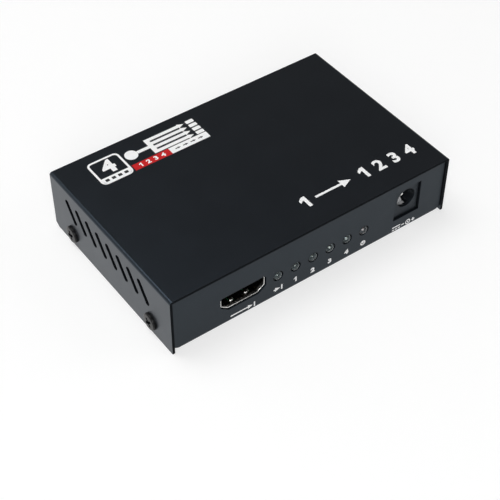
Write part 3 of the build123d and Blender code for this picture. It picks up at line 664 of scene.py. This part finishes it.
def cutOut(bm, cutter):  # the first mesh less the second
    body, tool = meshPiece("body", bm), meshPiece("tool", cutter)
    cut = body.modifiers.new("cut", "BOOLEAN")
    cut.operation = "DIFFERENCE"
    cut.solver = "EXACT"
    cut.object = tool
    bpy.context.view_layer.update()
    finished = bpy.data.meshes.new_from_object(
        body.evaluated_get(bpy.context.evaluated_depsgraph_get())
    )
    result = bmesh.new()
    result.from_mesh(finished)
    for piece in (body, tool):
        bpy.data.objects.remove(piece)
    bpy.data.meshes.remove(finished)
    return result


# The cross's walls and floor take the dark edge coat as painted shade in the recess
def inRecess(face):  # the walls and floor of the cross, which stay dark
    middle = face.calc_center_median()
    near = Vector((middle.x, middle.y)).length < screw["recessEdge"] * mm
    floorLevel = (screw["headHeight"] - screw["crossDepth"] * screw["recessFloor"]) * mm
    steep = abs(face.normal.z) < screw["recessSlope"]
    return near and middle.z > 0 and (steep or middle.z < floorLevel)


def addScrew(place, side, wallX, y, z):
    bm = cutOut(spinProfile(screwProfile(), 56), crossCutter())
    for face in bm.faces:
        face.material_index = int(inRecess(face))
    turnShape(bm, "Z", radians(screw["turns"][place]))
    turnShape(bm, "Y", side * pi / 2)
    bmesh.ops.translate(bm, vec=(wallX, y, z), verts=bm.verts)
    piece = addPiece(
        f"cover_screw_{place}", bm, ["blackScrew", "edgeCoatAndShade"], screw["smoothAngle"]
    )
    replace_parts(piece, "cover_screws")


def addScrews():
    low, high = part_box("cover_screws")
    inset = screw["headRadius"] * mm
    middleZ = (low.z + high.z) / 2
    for sideName, side, wallX in (("left", -1, coverBox[0].x), ("right", 1, coverBox[1].x)):
        for endName, y in (("front", low.y + inset), ("rear", high.y - inset)):
            addScrew(f"{endName}_{sideName}", side, wallX, y, middleZ)


addScrews()
print("screws made")


# Lamps: a clear domed body with a flange, over a core as dark as the dark ink that is painted
# shade for the lamp's inside, which carries a bright cup that is a painted highlight. "rim" is the
# share of the cup's radius where it stands highest.
lamp = {
    "radius": 1.5, "waist": 1.47, "dome": 0.95, "flange": 0.9, "step": 0.04, "foot": 0.05,
    "coreRadius": 1.30, "coreDepth": 1.25, "coreCorner": 0.1, "coreFoot": 0.06,
    "cupRadius": 0.25, "smallGlintRadius": 0.14, "proud": 0.12, "hollow": 0.04, "rim": 0.8,
    "rimDrop": 0.03, "cupGap": 0.01,
    "smallGlintLamps": ("input_light", "output_light_1", "output_light_2"),
}
lampNames = ["input_light"] + [f"output_light_{number}" for number in range(1, 5)]
lampNames += ["power_light"]


def lampBody(length):  # tip at zero, base at minus the length
    radius, waist, foot = lamp["radius"], lamp["waist"], lamp["foot"]
    flange = lamp["flange"] - length
    dome = quarterDome(waist, lamp["dome"], 10)
    points = [(across, up - lamp["dome"]) for across, up in dome]
    points += [(waist, flange), (radius, flange - lamp["step"]), (radius, foot - length)]
    points += [(radius - foot, -length), (0, -length)]
    return spinProfile(points)


def lampShadeCore(length):
    core, corner, front = lamp["coreRadius"], lamp["coreCorner"], -lamp["coreDepth"]
    base = lamp["coreFoot"] - length
    points = [(0, front), (core - corner, front), (core, front - corner), (core, base), (0, base)]
    return spinProfile(points, 32)


def glintCup(radius):
    front, base = (lamp[key] - lamp["coreDepth"] for key in ("proud", "cupGap"))
    points = [(0, front - lamp["hollow"]), (radius * lamp["rim"], front)]
    points += [(radius, front - lamp["rimDrop"]), (radius, base), (0, base)]
    return spinProfile(points, 24)


def addLamp(lampName):
    low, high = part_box(lampName)
    length = (high.y - low.y) / mm
    bm = lampBody(length)
    # the dark core is painted shade, the bright cup a painted highlight that is smaller in some
    # lamps
    joinInto(bm, lampShadeCore(length), 2)
    cupSize = "smallGlintRadius" if lampName in lamp["smallGlintLamps"] else "cupRadius"
    joinInto(bm, glintCup(lamp[cupSize]), 1)
    turnShape(bm, "X", pi / 2)
    centre = ((low.x + high.x) / 2, low.y, (low.z + high.z) / 2)
    bmesh.ops.translate(bm, vec=centre, verts=bm.verts)
    tinted = "redResin" if lampName == "power_light" else "greenResin"
    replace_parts(addPiece(f"{lampName}_lamp", bm, [tinted, "glintCup", "darkInkAndLampShade"]), lampName)


for lampName in lampNames:
    addLamp(lampName)
print("lamps made,", len(lampNames))


def portMouth(portName):  # the middle of a shell across X, which way is in, where the mouth is
    low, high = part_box(f"{portName}_shell")
    inward = 1 if low.y < 0 else -1
    return (low.x + high.x) / 2, inward, low.y if inward > 0 else high.y


# Dimples pressed into the crests of each port's spring fingers, where they touch the plug
dimple = {
    "radius": 0.60, "height": 0.30, "sunk": 0.25, "spread": 4.9, "shift": -0.35, "depth": 1.55,
    "crest": 2.08,
}


def addDimples(portName):
    middleX, inward, mouth = portMouth(portName)
    low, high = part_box(f"{portName}_insulator")
    middleZ = (low.z + high.z) / 2
    radius, sunk = dimple["radius"], -dimple["sunk"]
    points = quarterDome(radius, dimple["height"], 7) + [(radius, sunk), (0, sunk)]
    bm = bmesh.new()
    for side in (-1, 1):
        for up in (-1, 1):
            dome = spinProfile(points, 20)
            if up > 0:
                turnShape(dome, "X", pi)
            place = (
                middleX + (side * dimple["spread"] / 2 + inward * dimple["shift"]) * mm,
                mouth + inward * dimple["depth"] * mm,
                middleZ + up * dimple["crest"] * mm,
            )
            bmesh.ops.translate(dome, vec=place, verts=dome.verts)
            joinInto(bm, dome)
    addPiece(f"{portName}_dimples", bm, ["brightNickel"])


# The rolled lip round each port's mouth, grown from the front edge of its shell
lip = {
    "proud": 0.34, "round": 0.13, "slack": 0.03, "squareOn": 0.99, "cornerAngle": 60,
    "smoothAngle": 50,
}


def addLip(portName):
    _, inward, mouth = portMouth(portName)
    proud = lip["proud"] * mm
    bm = copyNode(f"{portName}_shell")
    rest = [
        face for face in bm.faces
        if face.normal.y * inward > -lip["squareOn"]
        or abs(face.calc_center_median().y - mouth) > lip["slack"] * mm
    ]
    bmesh.ops.delete(bm, geom=rest, context="FACES")
    makeFlatFacesWhole(bm)
    out = bmesh.ops.extrude_face_region(bm, geom=list(bm.faces))["geom"]
    front = [part for part in out if isinstance(part, BMVert)]
    bmesh.ops.translate(bm, vec=(0, -inward * proud, 0), verts=front)
    bmesh.ops.recalc_face_normals(bm, faces=bm.faces)
    corners = [
        edge for edge in bm.edges
        if len(edge.link_faces) == 2
        and edge.calc_face_angle(0) > radians(lip["cornerAngle"])
        and all(abs(vert.co.y - mouth) > proud / 2 for vert in edge.verts)
    ]
    bmesh.ops.bevel(
        bm, geom=corners, offset=lip["round"] * mm, segments=4, affect="EDGES", profile=0.5,
        material=-1, clamp_overlap=True,
    )
    addPiece(f"{portName}_lip", bm, ["brightNickel"], lip["smoothAngle"])


for portName in portNames:
    addDimples(portName)
    addLip(portName)
print("dimples and lips made")


# Centre pin of the jack, with a rounded tip, and its terminal plate
pin = {
    "radius": 1.0, "tip": 0.9, "reach": 7.8, "neck": 0.7, "neckEnd": 12.5, "plate": 0.3,
    "plateRound": 0.06,
}


def pinProfile():
    radius, tip, neck = pin["radius"], pin["tip"], pin["neck"]
    points = [(0, 0)] + arc(tip, (radius - tip, -tip), 90, 0, 6)
    points += [(radius, -pin["reach"]), (neck, -pin["reach"])]
    return points + [(neck, -pin["neckEnd"]), (0, -pin["neckEnd"])]


def addPin():
    low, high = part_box("dc_jack_pin")
    middleX, thick = (low.x + high.x) / 2, pin["plate"] * mm
    bm = spinProfile(pinProfile(), 40)
    turnShape(bm, "X", pi / 2)
    bmesh.ops.translate(bm, vec=(middleX, low.y, high.z - pin["radius"] * mm), verts=bm.verts)
    plate = bmesh.new()
    bmesh.ops.create_cube(plate, size=1)
    bmesh.ops.scale(plate, vec=(high.x - low.x, thick, high.z - low.z), verts=plate.verts)
    middle = (middleX, high.y - thick / 2, (low.z + high.z) / 2)
    bmesh.ops.translate(plate, vec=middle, verts=plate.verts)
    bmesh.ops.bevel(
        plate, geom=plate.edges, offset=pin["plateRound"] * mm, segments=2, affect="EDGES",
        profile=0.5, material=-1,
    )
    joinInto(bm, plate)
    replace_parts(addPiece("jack_centre_pin", bm, ["polishedPin"]), "dc_jack_pin")


addPin()
print("pin made")


# Printing: flat shapes drawn in millimetres on a surface, then given the thickness of the ink.
# Shapes of one colour never lie on each other, because there the render would flicker.
ink = {"thickness": 0.015, "lift": 0.002}
topFace = Matrix.Translation((0, 0, coverBox[1].z - cover["inkRoom"] * mm))
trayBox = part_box("base_tray")
frontFace = Matrix.Translation((0, trayBox[0].y, 0)) @ Matrix.Rotation(pi / 2, 4, "X")
rearFace = (
    Matrix.Translation((0, trayBox[1].y, 0))
    @ Matrix.Rotation(pi, 4, "Z")
    @ Matrix.Rotation(pi / 2, 4, "X")
)


def drawBox(bm, left, low, right, high, corner=0):
    before = set(bm.faces)
    verts = bmesh.ops.create_grid(bm, x_segments=1, y_segments=1, size=0.5)["verts"]
    bmesh.ops.scale(bm, vec=(right - left, high - low, 1), verts=verts)
    bmesh.ops.translate(bm, vec=((left + right) / 2, (low + high) / 2, 0), verts=verts)
    if corner:
        bmesh.ops.bevel(
            bm, geom=verts, offset=corner, segments=6, affect="VERTICES", profile=0.5,
            material=-1,
        )
    return max((face for face in bm.faces if face not in before), key=BMFace.calc_area)


def drawDisc(bm, x, y, radius, sides=32, turn=0.0):
    verts = bmesh.ops.create_circle(bm, cap_ends=True, segments=sides, radius=radius)["verts"]
    turnShape(bm, "Z", radians(turn), verts)
    bmesh.ops.translate(bm, vec=(x, y, 0), verts=verts)
    return verts[0].link_faces[0]


def hollow(bm, face, wall):  # leaves only an even border of a flat face
    face.normal_update()
    bmesh.ops.inset_individual(bm, faces=[face], thickness=wall, use_even_offset=True)
    bmesh.ops.delete(bm, geom=[face], context="FACES")


# A 1 is drawn from given shapes, because the font's is a plain stroke. The stem's width and the
# flag's reach are shares of the height, the flag's fall is a share of its reach, and how far down
# the stem the flag joins is a share of the stem's width.
figureOne = {"stem": 0.25, "flag": 0.30, "fall": 0.75, "join": 1.15}


def drawOne(bm, x, y, height):
    stem, flag = height * figureOne["stem"], height * figureOne["flag"]
    left, top = x - stem / 2 + flag / 3, y + height / 2
    drawBox(bm, left, y - height / 2, left + stem, top)
    fall, join = flag * figureOne["fall"], stem * figureOne["join"]
    corners = ((0, 0), (-flag, -fall), (-flag, -fall - stem), (0, -join))
    bm.faces.new([bm.verts.new((left + across, top + up, 0)) for across, up in corners])


# A figure centred on (x, y). Its style is its height, how wide it is drawn, and its extra weight.
def drawFigure(bm, figure, x, y, style):
    height, width, weight = style
    if figure == "1":
        drawOne(bm, x, y, height)
        return
    curve = bpy.data.curves.new("figure", "FONT")
    curve.body = figure
    curve.align_x = "CENTER"
    curve.offset = weight
    curve.resolution_u = 6
    holder = bpy.data.objects.new("figure", curve)
    scene.collection.objects.link(holder)
    bpy.context.view_layer.update()
    mesh = bpy.data.meshes.new_from_object(
        holder.evaluated_get(bpy.context.evaluated_depsgraph_get())
    )
    lows = [min(vert.co[axis] for vert in mesh.vertices) for axis in (0, 1)]
    highs = [max(vert.co[axis] for vert in mesh.vertices) for axis in (0, 1)]
    size = height / (highs[1] - lows[1])
    middle = Vector(((lows[0] + highs[0]) / 2, (lows[1] + highs[1]) / 2, 0))
    mesh.transform(
        Matrix.Translation((x, y, 0))
        @ Matrix.Diagonal((size * width, size, 1, 1))
        @ Matrix.Translation(-middle)
    )
    bm.from_mesh(mesh)
    bpy.data.objects.remove(holder)
    bpy.data.curves.remove(curve)
    bpy.data.meshes.remove(mesh)


def drawArrow(bm, left, right, y, line, head):
    drawBox(bm, left, y - line / 2, right - head, y + line / 2)
    tip = list(drawDisc(bm, 0, 0, 1, 3, -90).verts)
    length, width = 1.5, 1.9  # the triangle's, its width taken larger for a slimmer head
    bmesh.ops.scale(bm, vec=(head / length, head / width, 1), verts=tip)
    bmesh.ops.translate(bm, vec=(right - head * 2 / 3, y, 0), verts=tip)


def evenPlaces(left, right, count=4):
    return [left + (right - left) * place / (count + 1) for place in range(1, count + 1)]


def printOn(surface, name, bm, material, level=0):  # level: the layers of ink under it
    bmesh.ops.remove_doubles(bm, verts=bm.verts, dist=mergeGap / 2)
    bm.normal_update()
    for face in bm.faces:
        if face.normal.z < 0:
            face.normal_flip()
    bmesh.ops.solidify(bm, geom=list(bm.faces), thickness=-ink["thickness"])
    lift = ink["lift"] + level * (ink["thickness"] + ink["lift"])
    low = min(vert.co.z for vert in bm.verts)
    bmesh.ops.translate(bm, vec=(0, 0, lift - low), verts=bm.verts)
    bmesh.ops.scale(bm, vec=(mm, mm, mm), verts=bm.verts)
    bmesh.ops.transform(bm, matrix=surface, verts=bm.verts)
    bmesh.ops.recalc_face_normals(bm, faces=bm.faces)
    addPiece(name, bm, [material])


# Top of the cover, near the rear: a badge with a figure over a band of marks
badge = {
    "box": (-38.0, 16.65, -27.75, 26.95), "wall": 0.65, "corner": 1.6, "band": 2.7,
    "figure": (5.5, 1.12, 0.045), "figureDrop": 0.1,
    "mark": 1.2, "markLow": 0.95, "markHigh": 1.95, "markCorner": 0.2,
}


def drawBadge(white, dark):
    left, low, right, high = badge["box"]
    wall, band, half = badge["wall"], low + badge["band"], badge["mark"] / 2
    hollow(white, drawBox(white, left, low, right, high, badge["corner"]), wall)
    drawBox(white, left + wall, low + wall, right - wall, band)
    figureY = (band + high) / 2 - badge["figureDrop"]
    drawFigure(white, "4", (left + right) / 2, figureY, badge["figure"])
    for middle in evenPlaces(left, right):
        drawBox(
            dark, middle - half, low + badge["markLow"], middle + half, low + badge["markHigh"],
            badge["markCorner"],
        )


# Beside the badge: a disc and a line that a spine splits into four arrows, each with a block
fan = {
    "box": (-27.0, 19.9, -2.0, 26.6), "line": 1.15, "disc": 2.0, "stem": 4.0, "spine": 8.0,
    "spineWidth": 1.3, "arrowEnd": 3.4, "head": 2.0, "block": 2.6, "blockOver": 0.1,
    "blockCorner": 0.25,
}


def drawFan(white):
    left, low, right, high = fan["box"]
    line, middle, spine = fan["line"], (low + high) / 2, left + fan["spine"]
    spineEnd = spine + line * fan["spineWidth"]
    drawDisc(white, left + fan["disc"], middle, fan["disc"])
    drawBox(white, left + fan["stem"], middle - line / 2, spine, middle + line / 2)
    drawBox(white, spine, low, spineEnd, high)
    half = line / 2 + fan["blockOver"]
    for place in range(4):
        level = low + line / 2 + place * (high - low - line) / 3
        drawArrow(white, spineEnd, right - fan["arrowEnd"], level, line, fan["head"])
        drawBox(
            white, right - fan["block"], level - half, right, level + half, fan["blockCorner"]
        )


# Under the fan: a red bar with figures, and a white bar with arrows
bars = {
    "red": (-27.3, 16.9, -15.0, 19.5), "white": (-15.0, 16.9, -2.0, 19.5),
    "figure": (1.6, 1.25, 0.04), "arrow": 1.8, "arrowLine": 0.35, "head": 0.9,
}


def drawBars(white, red, dark):
    left, low, right, high = bars["red"]
    drawBox(red, left, low, right, high)
    for middle, figure in zip(evenPlaces(left, right), "1234"):
        drawFigure(white, figure, middle, (low + high) / 2, bars["figure"])
    left, low, right, high = bars["white"]
    drawBox(white, left, low, right, high)
    half = bars["arrow"] / 2
    for middle in evenPlaces(left, right):
        drawArrow(
            dark, middle - half, middle + half, (low + high) / 2, bars["arrowLine"], bars["head"]
        )


# Near the front: a row with one figure, an arrow and four figures
row = {
    "y": -21.05, "figure": (4.3, 1.1, 0.035), "start": 3.2, "arrow": (6.6, 19.0), "line": 0.75,
    "head": 3.4, "ends": (23.8, 29.3, 34.8, 40.3),
}


def drawRow(white):
    drawFigure(white, "1", row["start"], row["y"], row["figure"])
    drawArrow(white, *row["arrow"], row["y"], row["line"], row["head"])
    for middle, figure in zip(row["ends"], "1234"):
        drawFigure(white, figure, middle, row["y"], row["figure"])


def printTop():
    white, red, dark = bmesh.new(), bmesh.new(), bmesh.new()
    drawBadge(white, dark)
    drawFan(white)
    drawBars(white, red, dark)
    drawRow(white)
    printOn(topFace, "top_print_red", red, "redInk")
    printOn(topFace, "top_print_white", white, "whiteInk", 1)
    printOn(topFace, "top_print_dark", dark, "darkInkAndLampShade", 2)


printTop()


# Front: an arrow against a bar under the input port, and a figure or a sign under each lamp. The
# power lamp has a ring with a stem: its wall is a share of the line, and the stem ends at a share
# of the sign's height.
frontPrint = {
    "line": 0.46, "inputSign": (-28.5, 1.25, -20.3, 3.0), "lampSignY": 3.12,
    "lampSignWidth": 3.0, "figure": (1.8, 1.15, 0.06), "ringWall": 0.8, "stemLow": 0.25,
    "stemHigh": 0.3, "barGap": 1.7, "head": 0.95,
}
# Under the jack: a bar over three dashes for direct current, then minus, a dot in a ring, plus
supply = {
    "y": 1.95, "left": 28.4, "bar": 3.0, "barGap": 0.25, "dash": 0.8, "dashPitch": 1.1,
    "ringX": 34.3, "ring": 0.95, "ringWall": 0.75, "dot": 0.3, "space": 0.4, "minus": 1.1,
    "plus": 1.2,
}


def drawInputSign(bm, left, low, right, high):
    line = frontPrint["line"]
    head = (high - low) * frontPrint["head"]
    drawArrow(bm, left, right - line * frontPrint["barGap"], (low + high) / 2, line, head)
    drawBox(bm, right - line, low, right, high)


def drawPowerSign(bm, x, y, height):
    line = frontPrint["line"]
    hollow(bm, drawDisc(bm, x, y, height / 2), line * frontPrint["ringWall"])
    low, high = y - frontPrint["stemLow"], y + height * frontPrint["stemHigh"]
    drawBox(bm, x - line / 2, low, x + line / 2, high)


def drawSupplySigns(bm):
    line, left, middle, gap = frontPrint["line"], supply["left"], supply["y"], supply["barGap"]
    low, high = middle - line / 2, middle + line / 2
    drawBox(bm, left, middle + gap, left + supply["bar"], middle + gap + line)
    for dash in range(3):
        start = left + dash * supply["dashPitch"]
        drawBox(bm, start, middle - gap - line, start + supply["dash"], middle - gap)
    centre, ring = supply["ringX"], supply["ring"]
    hollow(bm, drawDisc(bm, centre, middle, ring), line * supply["ringWall"])
    drawDisc(bm, centre, middle, supply["dot"])
    minusEnd = centre - ring - supply["space"]
    drawBox(bm, minusEnd - supply["minus"], low, minusEnd, high)
    half = supply["plus"] / 2
    plus = centre + ring + supply["space"] + half
    drawBox(bm, plus - half, low, plus + half, high)
    for start, end in ((-half, -line / 2), (line / 2, half)):
        drawBox(bm, plus - line / 2, middle + start, plus + line / 2, middle + end)


def printFront():
    bm = bmesh.new()
    drawInputSign(bm, *frontPrint["inputSign"])
    height = frontPrint["figure"][0]
    half, y = frontPrint["lampSignWidth"] / 2, frontPrint["lampSignY"]
    for lampName in lampNames:
        low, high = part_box(lampName)
        x = (low.x + high.x) / 2 / mm
        if lampName == "input_light":
            drawInputSign(bm, x - half, y - height / 2, x + half, y + height / 2)
        elif lampName == "power_light":
            drawPowerSign(bm, x, y, height)
        else:
            drawFigure(bm, lampName[-1], x, y, frontPrint["figure"])
    drawSupplySigns(bm)
    printOn(frontFace, "front_print", bm, "whiteInk")


printFront()


# Rear: an arrow out of a bracket and a figure over each output port
rearPrint = {
    "low": 13.05, "high": 15.15, "line": 0.4, "width": 12.4, "bracket": 2.2,
    "arrow": (1.0, 9.0), "head": 1.9, "figure": (2.1, 1.15, 0.04), "figureInset": 0.7,
}


def drawOutputSign(bm, left, figure):
    line, low, high = rearPrint["line"], rearPrint["low"], rearPrint["high"]
    middle = (low + high) / 2
    drawBox(bm, left, low, left + line, high)
    for edge in (low, high - line):
        drawBox(bm, left + line, edge, left + rearPrint["bracket"], edge + line)
    start, end = rearPrint["arrow"]
    drawArrow(bm, left + start, left + end, middle, line, rearPrint["head"])
    figureX = left + rearPrint["width"] - rearPrint["figureInset"]
    drawFigure(bm, figure, figureX, middle, rearPrint["figure"])


def printRear():
    bm = bmesh.new()
    for portName in portNames[1:]:
        middleX = portMouth(portName)[0]
        drawOutputSign(bm, -middleX / mm - rearPrint["width"] / 2, portName[-1])
    printOn(rearFace, "rear_print", bm, "whiteInk")


printRear()
print("printing made")


# Stage: a pale floor that keeps a soft shadow, and a world that is pale at the horizon and darker
# overhead. The floor's glow grows with the distance in metres, "nearFar", so that it ends white.
stage = {
    "side": 3.0, "drop": 0.02, "shade": 0.47, "duller": (0.985, 0.985, 0.98), "grain": 0.8,
    "roughness": 0.9, "specular": 0.1, "glow": 0.585, "nearFar": (0.25, 0.9),
    "horizon": 0.9, "overhead": 0.10, "skyHeights": (0.05, 0.45), "backdrop": 0.98,
}


def makeFloor():
    material, tree, shader, place = startMaterial("floorPaper")
    pale = colour(*[stage["shade"]] * 3)
    duller = colour(*(stage["shade"] * share for share in stage["duller"]))
    grain = addNoise(tree, place, stage["grain"])
    tree.links.new(blendColours(tree, grain, duller, pale), shader.inputs["Base Color"])
    shader.inputs["Roughness"].default_value = stage["roughness"]
    shader.inputs["Specular IOR Level"].default_value = stage["specular"]
    rays = addNode(tree, "ShaderNodeLightPath").outputs
    seen = calculate(tree, "MAXIMUM", rays["Is Camera Ray"], rays["Is Glossy Ray"])
    seen = calculate(tree, "MAXIMUM", seen, rays["Is Transmission Ray"])
    distance = addNode(tree, "ShaderNodeVectorMath", {0: place}, operation="LENGTH")
    glow = spread(tree, distance.outputs["Value"], stage["glow"], 1.0, *stage["nearFar"])
    shader.inputs["Emission Color"].default_value = colour(1, 1, 1)
    tree.links.new(calculate(tree, "MULTIPLY", seen, glow), shader.inputs["Emission Strength"])
    return material


def addFloor():
    bm = bmesh.new()
    bmesh.ops.create_grid(bm, x_segments=1, y_segments=1, size=stage["side"] / 2)
    bmesh.ops.translate(bm, vec=(0, 0, -stage["drop"] * mm), verts=bm.verts)
    floor = meshPiece("floor", bm)
    floor.data.materials.append(makeFloor())


def setWorld():
    world = bpy.data.worlds.new("studio")
    scene.world = world
    world.use_nodes = True
    tree = world.node_tree
    tree.nodes.clear()
    direction = addNode(tree, "ShaderNodeTexCoord").outputs["Generated"]
    height = addNode(tree, "ShaderNodeSeparateXYZ", {"Vector": direction}).outputs["Z"]
    sky = spread(tree, height, stage["horizon"], stage["overhead"], *stage["skyHeights"])
    cameraRay = addNode(tree, "ShaderNodeLightPath").outputs["Is Camera Ray"]
    strength = addNode(
        tree, "ShaderNodeMix", {0: cameraRay, 2: sky, 3: stage["backdrop"]}, data_type="FLOAT"
    ).outputs[0]
    background = addNode(
        tree, "ShaderNodeBackground", {"Strength": strength, "Color": colour(1, 1, 1)}
    )
    output = addNode(tree, "ShaderNodeOutputWorld")
    tree.links.new(background.outputs["Background"], output.inputs["Surface"])


# Softboxes: direction from the object, distance and side in metres, watts
softboxes = {
    "overhead": {"direction": (-0.15, 0.30, 0.94), "distance": 0.80, "side": 0.50, "watts": 2.8},
    "fill": {"direction": (0.72, -0.45, 0.53), "distance": 0.85, "side": 0.50, "watts": 0.9},
    "back": {"direction": (-0.45, 0.70, 0.55), "distance": 0.85, "side": 0.45, "watts": 0.5},
    "key": {"direction": (-0.50, -0.66, 0.56), "distance": 0.90, "side": 0.50, "watts": 3.9},
}


def addSoftbox(name, look):
    light = bpy.data.lights.new(name, "AREA")
    light.shape = "SQUARE"
    light.size = look["side"]
    light.energy = look["watts"]
    holder = bpy.data.objects.new(name, light)
    direction = Vector(look["direction"]).normalized()
    holder.location = direction * look["distance"]
    holder.rotation_euler = direction.to_track_quat("Z", "Y").to_euler()
    scene.collection.objects.link(holder)


addFloor()
setWorld()
for softboxName, look in softboxes.items():
    addSoftbox(softboxName, look)
scene.view_settings.view_transform = "Standard"
print("stage and lights set")

print("done")
